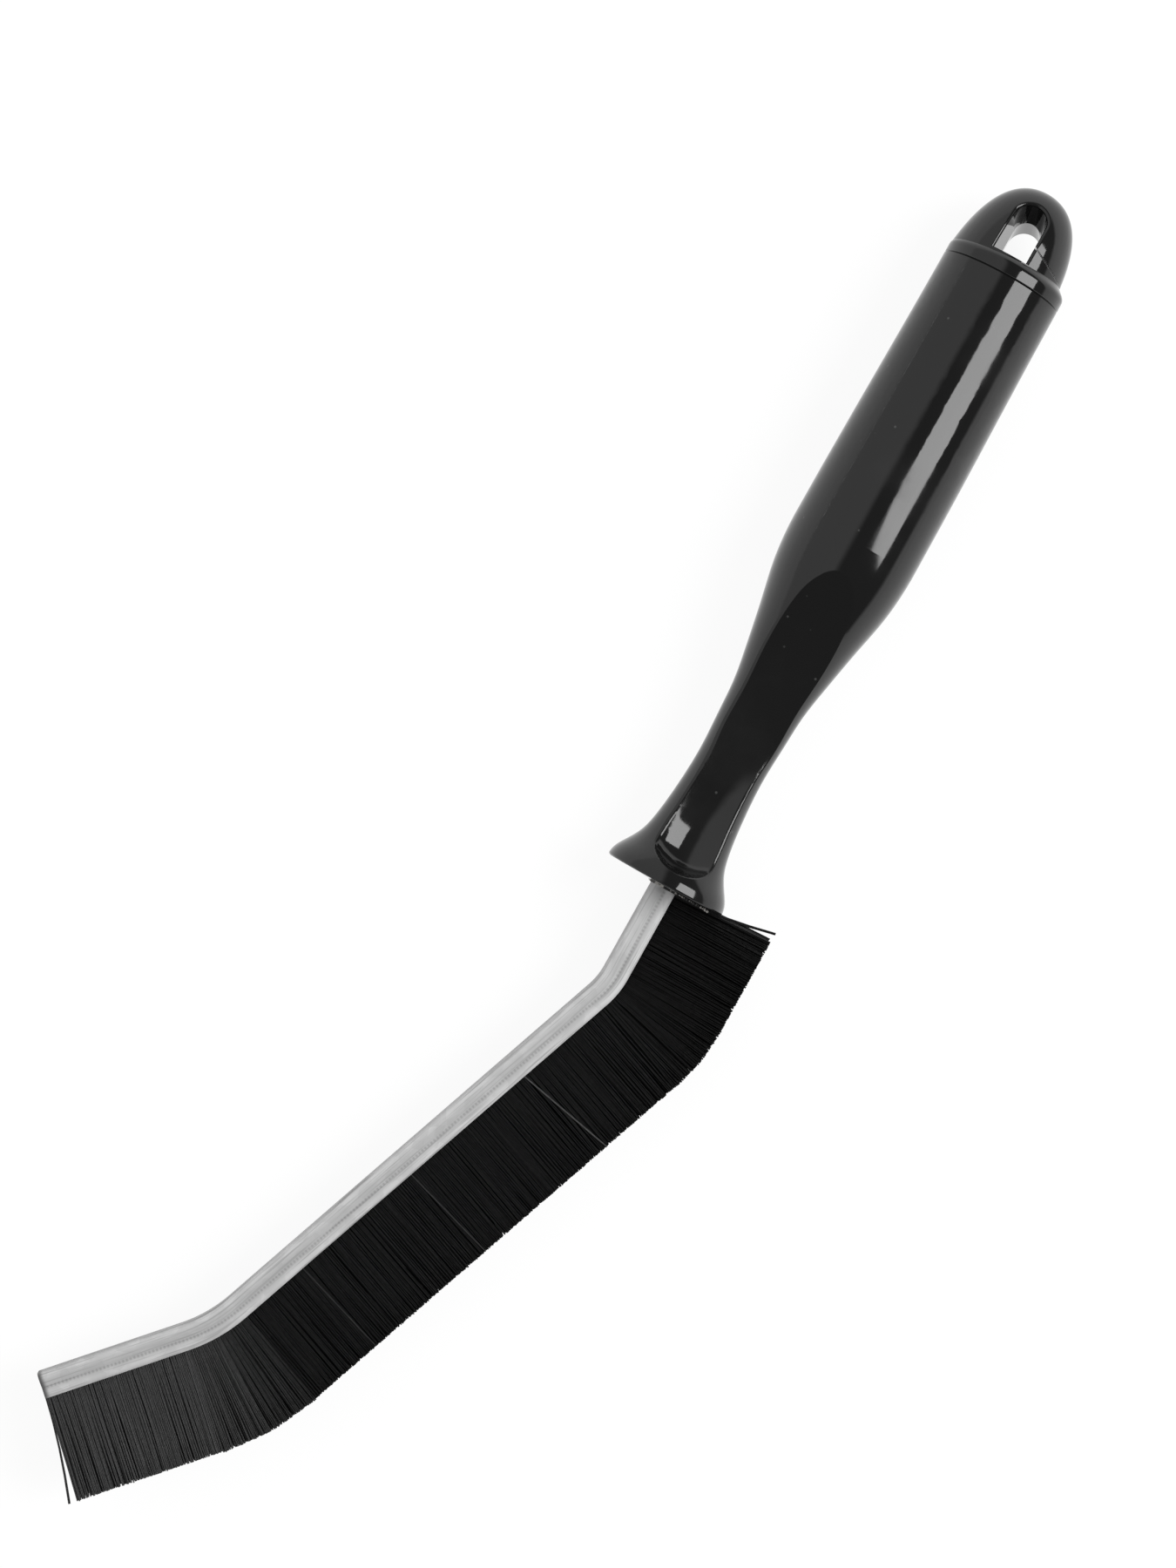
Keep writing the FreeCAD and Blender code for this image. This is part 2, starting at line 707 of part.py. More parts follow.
def tuft_partings(bundle):
    """Partings between the tufts on both faces of a bundle, opening towards the tips."""
    along, out = direction(bundle["heading"]), outward(bundle["heading"])
    half_lip, half_fan = bundle_fan(bundle)
    tufts = max(1, round((2 * half_lip + half_fan * BRISTLE_LENGTH) / TUFT_PITCH))
    root_end = LIP_CLEARANCE + BUNDLE_ROOT_RADIUS
    slope = (BRISTLE_TIP_HALF_THICKNESS - BUNDLE_ROOT_RADIUS) / (BRISTLE_LENGTH - root_end)
    start_height = BUNDLE_ROOT_RADIUS + slope * (PARTING_FROM_LIP - root_end)
    end_height = BRISTLE_TIP_HALF_THICKNESS - PARTING_DEPTH
    cutters = []
    for index in range(1, tufts):
        share = 2 * index / tufts - 1
        foot = bundle["lip"] + along * (half_lip * share)
        way = out + along * (half_fan * share)
        for up in (AXIS_Z, -AXIS_Z):
            start = foot + way * PARTING_FROM_LIP + up * start_height
            end = foot + way * BRISTLE_LENGTH + up * end_height
            cutters.append(parting(start, end, up, along))
    return cutters


def bristle_bundle(bundle):
    """Wedge of filaments, parted into tufts."""
    half_lip, half_fan = bundle_fan(bundle)
    half_width = direction(bundle["heading"]) * (half_lip + half_fan * BRISTLE_LENGTH)
    wedge = Part.Face(bundle_section(bundle)).extrude(half_width * 2)
    wedge.translate(half_width * -1)
    depth = BRISTLE_TIP_HALF_THICKNESS + BUNDLE_ROOT_RADIUS
    slab = Part.Face(bundle_plan_view(bundle)).extrude(AXIS_Z * (2 * depth))
    slab.translate(AXIS_Z * -depth)
    return wedge.common(slab).cut(tuft_partings(bundle))


# Assembly


def build():
    bundles = bundle_plan()
    pieces = {
        "handle_shell": handle_shell(),
        "hook_cap": hook_cap(),
        "strip_channel": strip_channel(),
        "core_wire": core_wire(),
        "filament_fold": filament_fold(),
        "adhesive": adhesive(),
    }
    for number, bundle in enumerate(bundles, 1):
        pieces[f"bristle_bundle_{number:02d}"] = bristle_bundle(bundle)

    box = Part.makeCompound(list(pieces.values())).optimalBoundingBox(False, False)
    move = Vector(-box.Center.x, -box.Center.y, -box.ZMin)
    os.makedirs("parts", exist_ok=True)
    for name, shape in pieces.items():
        shape.translate(move)
        shape.exportStep(os.path.join("parts", name + ".step"))
        print(f"{name}: {len(shape.Solids)} solid, {shape.Volume:.1f} mm3, valid {shape.isValid()}")

    print("box", [round(size, 2) for size in (box.XLength, box.YLength, box.ZLength)])
    for number, bundle in enumerate(bundles, 1):
        hinge, along = hinge_point(bundle) + move, direction(bundle["heading"])
        facts = {"hinge": number, "pos_mm": list(hinge), "axis": list(along), "width_mm": bundle["width"]}
        print(json.dumps(facts))
    eye_foot = Vector(HANDLE_LENGTH + RING_HEIGHT, 0, 0) + move
    print(json.dumps({"eye_foot_mm": list(eye_foot), "rim_mm": list(move)}))


build()
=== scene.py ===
"""Looks of a crevice brush, built round its solids. Metres, in the part's own frame.

The brush lies on its side: +X along the handle towards the hook, +Y away from the bristles, +Z up.
"""

import json
import math
import random

import bmesh
import bpy
from mathutils import Matrix, Vector
from mathutils.bvhtree import BVHTree


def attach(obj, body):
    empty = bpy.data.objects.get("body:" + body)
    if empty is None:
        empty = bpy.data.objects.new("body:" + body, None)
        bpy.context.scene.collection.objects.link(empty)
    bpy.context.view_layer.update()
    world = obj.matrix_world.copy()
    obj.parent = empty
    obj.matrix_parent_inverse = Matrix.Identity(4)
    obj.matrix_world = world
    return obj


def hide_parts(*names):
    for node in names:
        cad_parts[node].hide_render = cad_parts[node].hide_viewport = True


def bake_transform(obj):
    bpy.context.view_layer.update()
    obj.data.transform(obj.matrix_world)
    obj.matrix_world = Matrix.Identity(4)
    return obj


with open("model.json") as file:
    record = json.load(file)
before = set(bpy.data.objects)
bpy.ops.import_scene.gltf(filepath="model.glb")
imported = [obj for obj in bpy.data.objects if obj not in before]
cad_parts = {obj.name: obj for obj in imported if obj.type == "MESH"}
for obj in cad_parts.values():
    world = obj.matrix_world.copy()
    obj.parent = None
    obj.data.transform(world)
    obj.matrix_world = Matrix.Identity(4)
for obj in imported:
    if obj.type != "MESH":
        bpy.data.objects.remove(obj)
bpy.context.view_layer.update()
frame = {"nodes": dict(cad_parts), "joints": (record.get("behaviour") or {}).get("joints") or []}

scene = bpy.context.scene
nodes = frame["nodes"]
joints = {joint["name"]: joint for joint in frame["joints"]}

FLEXES = sorted(name for name in joints if name.startswith("flex_"))
AXIS_X = Vector((1, 0, 0))
AXIS_Y = Vector((0, 1, 0))
AXIS_Z = Vector((0, 0, 1))

# Handle, as it lies in the frame
HANDLE_LENGTH = 0.1226
COLLAR_CROWN = 0.001
SEAM = Vector(joints["cap_swivel"]["pos_m"])
RIM = SEAM - AXIS_X * HANDLE_LENGTH

# Picture: where the collar's rim lies in it, and which way the handle points (pixels, y down)
IMAGE_WIDTH = 1350
IMAGE_HEIGHT = 1800
RIM_PIXEL = Vector((765, 1012))
HANDLE_IN_IMAGE = Vector((0.487, -0.873))
METRES_PER_PIXEL = 0.0001556
FOCAL_PIXELS = 5000
SENSOR_MM = 36
CAMERA_TILT = math.radians(2)

# Studio
SOFTBOX_SIZE = 0.8
SOFTBOX_DISTANCE = 1.2
SOFTBOX_RADIANCE = 7.0
SOFTBOX_TILT = math.radians(38)
SOFTBOX_ALONG = 0.54
SOFTBOX_TURN = math.radians(-10)
ROOM_LIGHT = 0.4
FILL_LIGHT = 1.0
FILL_REACH = (-0.1, 0.4)
WALL_LIGHT = 0.75
CEILING_LIGHT = 0.12
WALL_STARTS = 0.06
WALL_FULL = 0.28
HORIZON_REACH = (0.12, 0.25)
FLOOR_HALF_SIZE = 2.0
FLOOR_GREY = 0.11
FLOOR_GLOW = 0.9

# Strip: its centreline leaves the handle straight and bends away from the bristles twice
HEEL_RUN = 0.0211
MIDDLE_RUN = 0.093
TOE_RUN = 0.0323
HEEL_BEND_ANGLE = math.radians(20)
TOE_BEND_ANGLE = math.radians(22.3)
HEEL_BEND_RADIUS = 0.015
TOE_BEND_RADIUS = 0.028
TANG_LENGTH = 0.028

# Channel of folded sheet steel with crimped sides
CHANNEL_HEIGHT = 0.0047
SHEET = 0.0005
BACK_ROUND = 0.001
BACK_ROUND_SEGMENTS = 5
SHOULDER_HALF = 0.0025
WAIST_HALF = 0.0022
LIP_HALF = 0.00235
SHOULDER_SHARE = 0.36
CRIMP_SHARES = (0.54, 0.6, 0.66)
LIP_SHARE = 0.78
CRIMP_PITCH = 0.0007
CRIMP_DEPTH = 0.00014
# Reach and strength of the painted shade in the crimp dents
CRIMP_REACH = (0.0001, 0.0004)
CRIMP_SHADE = 0.45
END_STAIN_REACH = (0.0012, 0.0002)
# Painted shade along the middle of each side of the channel: its reach and strength
SIDE_SHADE_REACH = (0.0004, 0.002)
SIDE_SHADE_SHARE = 0.5

# Handle trim
FLASH_SEED = 7
FLASH_ANGLE = math.radians(40.5)
FLASH_START = 0.058
FLASH_END = 0.121
FLASH_POINTS = 90
FLASH_RADIUS = 0.00005
FLASH_RADIUS_SHARES = (0.2, 1.0)
SKIN_REACH = 0.03
GLUE_SEED = 3
GLUE_DROPS = 14
GLUE_DROP_RADIUS = 0.00026
GLUE_START = 0.0028
GLUE_END = 0.0088
GLUE_RISE_SHARE = 0.1
GLUE_SCATTER_SHARES = (0, 2)
GLUE_STRETCH_SHARES = (0.5, 1.4)
GLUE_SUBDIVISIONS = 2

# Filaments
FILAMENT_RADIUS = 0.00016
FACE_PITCH = 0.00027
FACE_JITTER_SHARE = 0.35
FACE_LEVEL = 0.93
INNER_FILAMENTS_PER_METRE = 32000
STRAND = 2
DARKEST_NYLON = 0.0025
PALEST_NYLON = 0.0085
# Painted sheen: the toe bundles' filaments are painted paler in place of the highlight they catch
TOE_PAINTED_SHEEN_GAIN = 12.0
TOE_PAINTED_SHEEN_FROM = 12
TOE_PAINTED_SHEEN_FULL = 15
FILAMENT_POINTS = 5
TIP_TAPER_SHARE = 0.8
ROOT_DEPTH = 0.0006
ROOT_HALF_THICKNESS = 0.00145
TIP_INSET = 0.0001
BUNDLE_GAP = 0.0005
LIP_TO_HINGE = 0.0019
TUFT_PITCH = 0.0021
TUFT_PULL = 0.04
PARTING_WIDTH = 0.0006
PARTING_DEPTH = 0.0007
PARTING_DEPTH_SHARES = (0.4, 1)
TIP_SCATTER = 0.00009
LENGTH_SCATTER = 0.00005
BOW_SCATTER = 0.00008
HEEL_SPREAD = 0.0014
HEEL_ROOT_SPREAD = 0.0001
TOE_SPREAD = 0.0006
SPREAD_FROM_SHARE = 0.55

# Strays: bundle, place across the root and tip (shares of the half width), bow and grey
STRAYS = (
    (1, -0.98, -1.34, 0.0006, 0.008),
    (1, -0.96, -1.29, 0.0006, 0.006),
    (17, 0.97, 1.3, -0.0004, 0.008),
    (17, 0.98, 1.26, -0.0004, 0.006),
    (6, 0.68, 0.1, 0.0, 0.06),
    (9, -0.3, -0.55, 0.0, 0.025),
    (11, 0.5, 0.3, 0.0, 0.02),
)
STRAY_LEVEL = 1.04

# Marks of handling: an edge is where a pattern goes from none to full
SMUDGE_EDGE = (0.46, 0.68)
RUB_STRETCH = (0.025, 1, 1)
RUB_EDGE = (0.6, 0.78)
SPECK_EDGE = (0.13, 0.05)
SPECK_CHOICE = (0.86, 0.9)

# Black moulding
PLASTIC_GREY = 0.0065
SMUDGED_GREY = 0.0095
DUST_GREY = 0.09
DUST_SHARE = 0.5
PLASTIC_ROUGHNESS = (0.07, 0.13)
RUB_ROUGHNESS = 0.05
SINK_WAVE_STRETCH = (0.3, 1, 1)
SINK_WAVE_SCALE = 260.0
SINK_WAVE_BUMP = (0.03, 0.0002)
PLASTIC_IOR = 1.5

# Galvanised sheet
SPANGLE_STRETCH = (0.6, 1, 1)
SPANGLE_SCALE = 700.0
SPANGLE_SHARE = 0.3
BLOTCH_SCALE = 260.0
BLOTCH_SHARE = 0.8
ZINC_TONE_EDGE = (0.3, 0.8)
ZINC_GREYS = (0.5, 0.6)
ROLLING_STRETCH = (0.02, 1, 1)
ROLLING_SCALE = 2600.0
ROLLING_EDGE = (0.5, 0.66)
ROLLING_GREY = 0.36
ROLLING_BUMP = (0.25, 0.00005)
# Grey of the painted shade along the middle of the sides
SIDE_SHADE_GREY = 0.32
# Grey of the painted shade in the crimp dents
CRIMP_SHADE_GREY = 0.15
STAIN_EDGE = (0.42, 0.56)
STAIN_GREY = 0.1
ZINC_ROUGHNESS_EDGE = (0.3, 0.75)
ZINC_ROUGHNESS = (0.5, 0.62)
ZINC_METALLIC = 0.1

# Wire, nylon and glue
MOTTLE_EDGE = (0.3, 0.7)
WIRE_STRETCH = (0.05, 1, 1)
WIRE_SCALE = 4000.0
WIRE_GREYS = (0.35, 0.55)
WIRE_ROUGHNESS = (0.25, 0.4)
SCUFF_SCALE = 1500.0
SCUFF_LEVELS = (0.85, 1.2)
NYLON_ROUGHNESS = (0.28, 0.38)
NYLON_SPECULAR = 0.26
PACKED_SCALE = 5200.0
PACKED_GREYS = (0.004, 0.022)
PACKED_ROUGHNESS = (0.35, 0.55)
PACKED_BUMP = (0.6, 0.0001)
RIPPLE_SCALE = 900.0
RIPPLE_EDGE = (0.35, 0.7)
RIPPLE_BUMP = (0.5, 0.0002)
FLECK_EDGE = (0.48, 0.62)
FLECK_COLOUR = (0.34, 0.33, 0.31, 1)
GLUE_GREY = 0.02
GLUE_ROUGHNESS = (0.12, 0.35)
GLUE_IOR = 1.48


# Shader helpers


def new_material(name):
    """Empty material with a Principled shader; returns the material, its node tree and the shader."""
    material = bpy.data.materials.new(name)
    material.use_nodes = True
    return material, material.node_tree, material.node_tree.nodes["Principled BSDF"]


def add_node(tree, kind, **settings):
    """Adds a node with some of its properties set."""
    node = tree.nodes.new(kind)
    for name, value in settings.items():
        setattr(node, name, value)
    return node


def feed(tree, socket, source):
    """Links a source socket, or sets a plain value, on an input."""
    if isinstance(source, bpy.types.NodeSocket):
        tree.links.new(source, socket)
    else:
        socket.default_value = source


def math_node(tree, operation, first, second=0.0):
    node = add_node(tree, "ShaderNodeMath", operation=operation)
    feed(tree, node.inputs[0], first)
    feed(tree, node.inputs[1], second)
    return node.outputs[0]


def remap(tree, value, low, high, to_low=0.0, to_high=1.0):
    node = add_node(tree, "ShaderNodeMapRange", interpolation_type="SMOOTHSTEP")
    feed(tree, node.inputs["Value"], value)
    node.inputs["From Min"].default_value = low
    node.inputs["From Max"].default_value = high
    node.inputs["To Min"].default_value = to_low
    node.inputs["To Max"].default_value = to_high
    return node.outputs["Result"]


def mix_colours(tree, share, first, second):
    """Blend of two colours, which a Mix node takes at its sockets 6 and 7."""
    node = add_node(tree, "ShaderNodeMix", data_type="RGBA")
    feed(tree, node.inputs[0], share)
    feed(tree, node.inputs[6], first)
    feed(tree, node.inputs[7], second)
    return node.outputs[2]


def mix_values(tree, share, first, second):
    """Blend of two values, which a Mix node takes at its sockets 2 and 3."""
    node = add_node(tree, "ShaderNodeMix", data_type="FLOAT")
    feed(tree, node.inputs[0], share)
    feed(tree, node.inputs[2], first)
    feed(tree, node.inputs[3], second)
    return node.outputs[0]


def noise(tree, vector, scale, detail=3.0):
    node = add_node(tree, "ShaderNodeTexNoise")
    feed(tree, node.inputs["Vector"], vector)
    feed(tree, node.inputs["Scale"], scale)
    node.inputs["Detail"].default_value = detail
    return node.outputs["Fac"]


def stretched(tree, vector, scale):
    node = add_node(tree, "ShaderNodeMapping")
    feed(tree, node.inputs["Vector"], vector)
    node.inputs["Scale"].default_value = scale
    return node.outputs["Vector"]


def bump(tree, height, strength, distance):
    node = add_node(tree, "ShaderNodeBump")
    feed(tree, node.inputs["Height"], height)
    node.inputs["Strength"].default_value = strength
    node.inputs["Distance"].default_value = distance
    return node.outputs["Normal"]


def grey(level):
    return (level, level, level, 1)


def object_coordinates(tree):
    return add_node(tree, "ShaderNodeTexCoord").outputs["Object"]


def attribute(tree, name):
    return add_node(tree, "ShaderNodeAttribute", attribute_name=name).outputs["Fac"]


def new_group(name, inputs, outputs):
    """Shader node group with float inputs (a Vector first) and float outputs."""
    group = bpy.data.node_groups.new(name, "ShaderNodeTree")
    group.interface.new_socket("Vector", in_out="INPUT", socket_type="NodeSocketVector")
    for socket, value in inputs.items():
        made = group.interface.new_socket(socket, in_out="INPUT", socket_type="NodeSocketFloat")
        made.default_value = value
    for socket in outputs:
        group.interface.new_socket(socket, in_out="OUTPUT", socket_type="NodeSocketFloat")
    return group, group.nodes.new("NodeGroupInput"), group.nodes.new("NodeGroupOutput")


def use_group(tree, group, vector, **values):
    node = add_node(tree, "ShaderNodeGroup", node_tree=group)
    feed(tree, node.inputs["Vector"], vector)
    for socket, value in values.items():
        feed(tree, node.inputs[socket], value)
    return node.outputs


# Marks that handling leaves


def handling_marks():
    """Soft smudges from handling, hairline rubs along X, and sparse dust specks."""
    group, given, made = new_group(
        "handling_marks",
        {"SmudgeScale": 60.0, "RubScale": 900.0, "SpeckScale": 500.0},
        ("Smudge", "Rub", "Speck"),
    )
    vector = given.outputs["Vector"]
    smudge = noise(group, vector, given.outputs["SmudgeScale"], detail=5.0)
    feed(group, made.inputs["Smudge"], remap(group, smudge, *SMUDGE_EDGE))

    along = stretched(group, vector, RUB_STRETCH)
    rub = noise(group, along, given.outputs["RubScale"], detail=2.0)
    feed(group, made.inputs["Rub"], remap(group, rub, *RUB_EDGE))

    cells = add_node(group, "ShaderNodeTexVoronoi", feature="F1")
    feed(group, cells.inputs["Vector"], vector)
    feed(group, cells.inputs["Scale"], given.outputs["SpeckScale"])
    dot = remap(group, cells.outputs["Distance"], *SPECK_EDGE)
    red = add_node(group, "ShaderNodeSeparateColor")
    feed(group, red.inputs["Color"], cells.outputs["Color"])
    chosen = remap(group, red.outputs["Red"], *SPECK_CHOICE)
    feed(group, made.inputs["Speck"], math_node(group, "MULTIPLY", dot, chosen))
    return group


HANDLING_MARKS = handling_marks()


# Finishes


def black_plastic():
    """Glossy black moulding: faint sink waves, smudges, rubs along the handle and dust."""
    material, tree, shader = new_material("black_plastic")
    place = object_coordinates(tree)
    marks = use_group(tree, HANDLING_MARKS, place, SmudgeScale=55.0, RubScale=1100.0, SpeckScale=420.0)
    dusty = math_node(tree, "MULTIPLY", marks["Speck"], DUST_SHARE)
    tint = mix_colours(tree, marks["Smudge"], grey(PLASTIC_GREY), grey(SMUDGED_GREY))
    feed(tree, shader.inputs["Base Color"], mix_colours(tree, dusty, tint, grey(DUST_GREY)))
    rubbed = math_node(tree, "MULTIPLY", marks["Rub"], RUB_ROUGHNESS)
    smudged = remap(tree, marks["Smudge"], 0, 1, *PLASTIC_ROUGHNESS)
    feed(tree, shader.inputs["Roughness"], math_node(tree, "ADD", rubbed, smudged))
    waves = noise(tree, stretched(tree, place, SINK_WAVE_STRETCH), SINK_WAVE_SCALE, detail=1.0)
    feed(tree, shader.inputs["Normal"], bump(tree, waves, *SINK_WAVE_BUMP))
    shader.inputs["IOR"].default_value = PLASTIC_IOR
    return material


def spangled_zinc(tree, place, rolled, blotch):
    """Colour of the plain sheet: pale spangle under darker rolling lines."""
    cells = add_node(tree, "ShaderNodeTexVoronoi", feature="F1")
    feed(tree, cells.inputs["Vector"], stretched(tree, place, SPANGLE_STRETCH))
    cells.inputs["Scale"].default_value = SPANGLE_SCALE
    tone = add_node(tree, "ShaderNodeSeparateColor")
    feed(tree, tone.inputs["Color"], cells.outputs["Color"])
    spangle = math_node(tree, "MULTIPLY", tone.outputs["Red"], SPANGLE_SHARE)
    mixed = math_node(tree, "ADD", spangle, math_node(tree, "MULTIPLY", blotch, BLOTCH_SHARE))
    duller, paler = ZINC_GREYS
    sheet = mix_colours(tree, remap(tree, mixed, *ZINC_TONE_EDGE), grey(duller), grey(paler))
    return mix_colours(tree, remap(tree, rolled, *ROLLING_EDGE), sheet, grey(ROLLING_GREY))


def zinc_sheet():
    """Galvanised strip: painted shade along the middle of its sides, where they slope in to the waist, and
    in the crimp dents; stained at the toe.
    """
    material, tree, shader = new_material("zinc_sheet")
    along = attribute(tree, "along")
    around = attribute(tree, "around")
    join = add_node(tree, "ShaderNodeCombineXYZ")
    feed(tree, join.inputs["X"], along)
    feed(tree, join.inputs["Y"], around)
    place = join.outputs["Vector"]
    rolled = noise(tree, stretched(tree, place, ROLLING_STRETCH), ROLLING_SCALE, detail=3.0)
    blotch = noise(tree, place, BLOTCH_SCALE, detail=4.0)
    plain = spangled_zinc(tree, place, rolled, blotch)
    # Painted shade: darker along the middle of each side, where it slopes in to the waist
    side_middle = SHOULDER_HALF + CHANNEL_HEIGHT / 2
    from_middle = math_node(tree, "SUBTRACT", math_node(tree, "ABSOLUTE", around), side_middle)
    side_shade = remap(tree, math_node(tree, "ABSOLUTE", from_middle), *SIDE_SHADE_REACH, SIDE_SHADE_SHARE, 0)
    side_shaded = mix_colours(tree, side_shade, plain, grey(SIDE_SHADE_GREY))
    # Painted shade in the dented steps along the crimp line
    crimp_line = CRIMP_SHARES[1] * CHANNEL_HEIGHT - CHANNEL_HEIGHT / 2
    to_crimps = math_node(tree, "SUBTRACT", from_middle, crimp_line)
    on_line = remap(tree, math_node(tree, "ABSOLUTE", to_crimps), *CRIMP_REACH, CRIMP_SHADE, 0)
    dented = math_node(tree, "MULTIPLY", on_line, attribute(tree, "dent"))
    dent_shaded = mix_colours(tree, dented, side_shaded, grey(CRIMP_SHADE_GREY))
    strip_length = sum(length for length, _, _ in strip_stretches())
    at_end = remap(tree, math_node(tree, "SUBTRACT", strip_length, along), *END_STAIN_REACH)
    stain = math_node(tree, "MULTIPLY", at_end, remap(tree, blotch, *STAIN_EDGE))
    feed(tree, shader.inputs["Base Color"], mix_colours(tree, stain, dent_shaded, grey(STAIN_GREY)))
    feed(tree, shader.inputs["Roughness"], remap(tree, rolled, *ZINC_ROUGHNESS_EDGE, *ZINC_ROUGHNESS))
    feed(tree, shader.inputs["Normal"], bump(tree, rolled, *ROLLING_BUMP))
    shader.inputs["Metallic"].default_value = ZINC_METALLIC
    return material


def drawn_wire():
    """Bright drawn wire with draw lines along it."""
    material, tree, shader = new_material("drawn_wire")
    place = object_coordinates(tree)
    lines = noise(tree, stretched(tree, place, WIRE_STRETCH), WIRE_SCALE)
    duller, brighter = WIRE_GREYS
    feed(tree, shader.inputs["Base Color"], mix_colours(tree, lines, grey(duller), grey(brighter)))
    feed(tree, shader.inputs["Roughness"], remap(tree, lines, *MOTTLE_EDGE, *WIRE_ROUGHNESS))
    shader.inputs["Metallic"].default_value = 1.0
    return material


def black_nylon():
    """Satin black filaments, each with a grey of its own, scuffed lighter and duller in places."""
    material, tree, shader = new_material("black_nylon")
    place = object_coordinates(tree)
    scuff = noise(tree, place, SCUFF_SCALE)
    scuffed = remap(tree, scuff, *MOTTLE_EDGE, *SCUFF_LEVELS)
    # The grey attribute is each filament's own grey, painted paler on the toe bundles as painted sheen
    feed(tree, shader.inputs["Base Color"], math_node(tree, "MULTIPLY", attribute(tree, "grey"), scuffed))
    feed(tree, shader.inputs["Roughness"], remap(tree, scuff, *MOTTLE_EDGE, *NYLON_ROUGHNESS))
    shader.inputs["Specular IOR Level"].default_value = NYLON_SPECULAR
    return material


def packed_nylon():
    """Filaments pressed together in the channel: dark, with a fine uneven grain."""
    material, tree, shader = new_material("packed_nylon")
    place = object_coordinates(tree)
    strands = noise(tree, place, PACKED_SCALE, detail=1.0)
    darker, paler = PACKED_GREYS
    feed(tree, shader.inputs["Base Color"], mix_colours(tree, strands, grey(darker), grey(paler)))
    feed(tree, shader.inputs["Roughness"], remap(tree, strands, *MOTTLE_EDGE, *PACKED_ROUGHNESS))
    feed(tree, shader.inputs["Normal"], bump(tree, strands, *PACKED_BUMP))
    return material


def cured_adhesive():
    """Cured glue, as dark as the plastic under it, with a rippled skin and pale flecks."""
    material, tree, shader = new_material("cured_adhesive")
    place = object_coordinates(tree)
    ripple = noise(tree, place, RIPPLE_SCALE, detail=3.0)
    fleck = remap(tree, ripple, *FLECK_EDGE)
    feed(tree, shader.inputs["Base Color"], mix_colours(tree, fleck, grey(GLUE_GREY), FLECK_COLOUR))
    feed(tree, shader.inputs["Roughness"], remap(tree, ripple, *RIPPLE_EDGE, *GLUE_ROUGHNESS))
    feed(tree, shader.inputs["Normal"], bump(tree, ripple, *RIPPLE_BUMP))
    shader.inputs["IOR"].default_value = GLUE_IOR
    return material


# Pieces


def tubes_to_mesh(name, radius, lines, capped):
    """Mesh of fine square tubes along lines, each given as its points and the share of the radius there."""
    curve = bpy.data.curves.new(name, "CURVE")
    curve.dimensions = "3D"
    curve.bevel_depth = radius
    curve.bevel_resolution = 0
    curve.use_fill_caps = capped
    for points, shares in lines:
        spline = curve.splines.new("POLY")
        spline.points.add(len(points) - 1)
        spline.points.foreach_set("co", [value for point in points for value in (*point, 1)])
        spline.points.foreach_set("radius", shares)
    holder = bpy.data.objects.new(name, curve)
    mesh = bpy.data.meshes.new_from_object(holder)
    bpy.data.objects.remove(holder)
    bpy.data.curves.remove(curve)
    mesh.name = name
    return mesh


def finished_mesh(bm, name):
    """Mesh of a bmesh that is done with."""
    mesh = bpy.data.meshes.new(name)
    bm.to_mesh(mesh)
    bm.free()
    return mesh


def dress_solid(name, material):
    """Gives a solid of the frame its finish."""
    solid = nodes[name]
    solid.data.materials.clear()
    solid.data.materials.append(material)


def new_piece(name, mesh, material):
    """Object at the origin that shows a finished mesh, shaded smooth."""
    mesh.materials.clear()
    mesh.materials.append(material)
    mesh.shade_smooth()
    piece = bpy.data.objects.new(name, mesh)
    scene.collection.objects.link(piece)
    return piece


# Strip


def heading_along(heading):
    """Way along the strip, towards the toe."""
    return Vector((-math.cos(heading), math.sin(heading), 0))


def heading_out(heading):
    """Way that the bristles point."""
    return Vector((-math.sin(heading), -math.cos(heading), 0))


def strip_stretches():
    """Straight runs and bends from the end of the tang to the toe: length, turn and bend radius."""
    heel_tangent = HEEL_BEND_RADIUS * math.tan(HEEL_BEND_ANGLE / 2)
    toe_tangent = TOE_BEND_RADIUS * math.tan(TOE_BEND_ANGLE / 2)
    return [
        (TANG_LENGTH + HEEL_RUN - heel_tangent, 0, 0),
        (HEEL_BEND_RADIUS * HEEL_BEND_ANGLE, HEEL_BEND_ANGLE, HEEL_BEND_RADIUS),
        (MIDDLE_RUN - heel_tangent - toe_tangent, 0, 0),
        (TOE_BEND_RADIUS * TOE_BEND_ANGLE, TOE_BEND_ANGLE, TOE_BEND_RADIUS),
        (TOE_RUN - toe_tangent, 0, 0),
    ]


def channel_corners():
    """Corners of the channel's section: round the outside from lip to lip, then back along the inside."""
    side = [(SHOULDER_SHARE * CHANNEL_HEIGHT, SHOULDER_HALF)]
    side += [(share * CHANNEL_HEIGHT, WAIST_HALF) for share in CRIMP_SHARES]
    side += [(LIP_SHARE * CHANNEL_HEIGHT, LIP_HALF), (CHANNEL_HEIGHT, LIP_HALF)]
    outer = [(0, SHOULDER_HALF), *side]
    inner = [(SHEET, SHOULDER_HALF - SHEET), *[(height, half - SHEET) for height, half in side]]
    near = [*reversed(outer)]
    far = [(height, -width) for height, width in outer]
    inner_far = [(height, -width) for height, width in reversed(inner)]
    return [*near, *far, *inner_far, *inner]


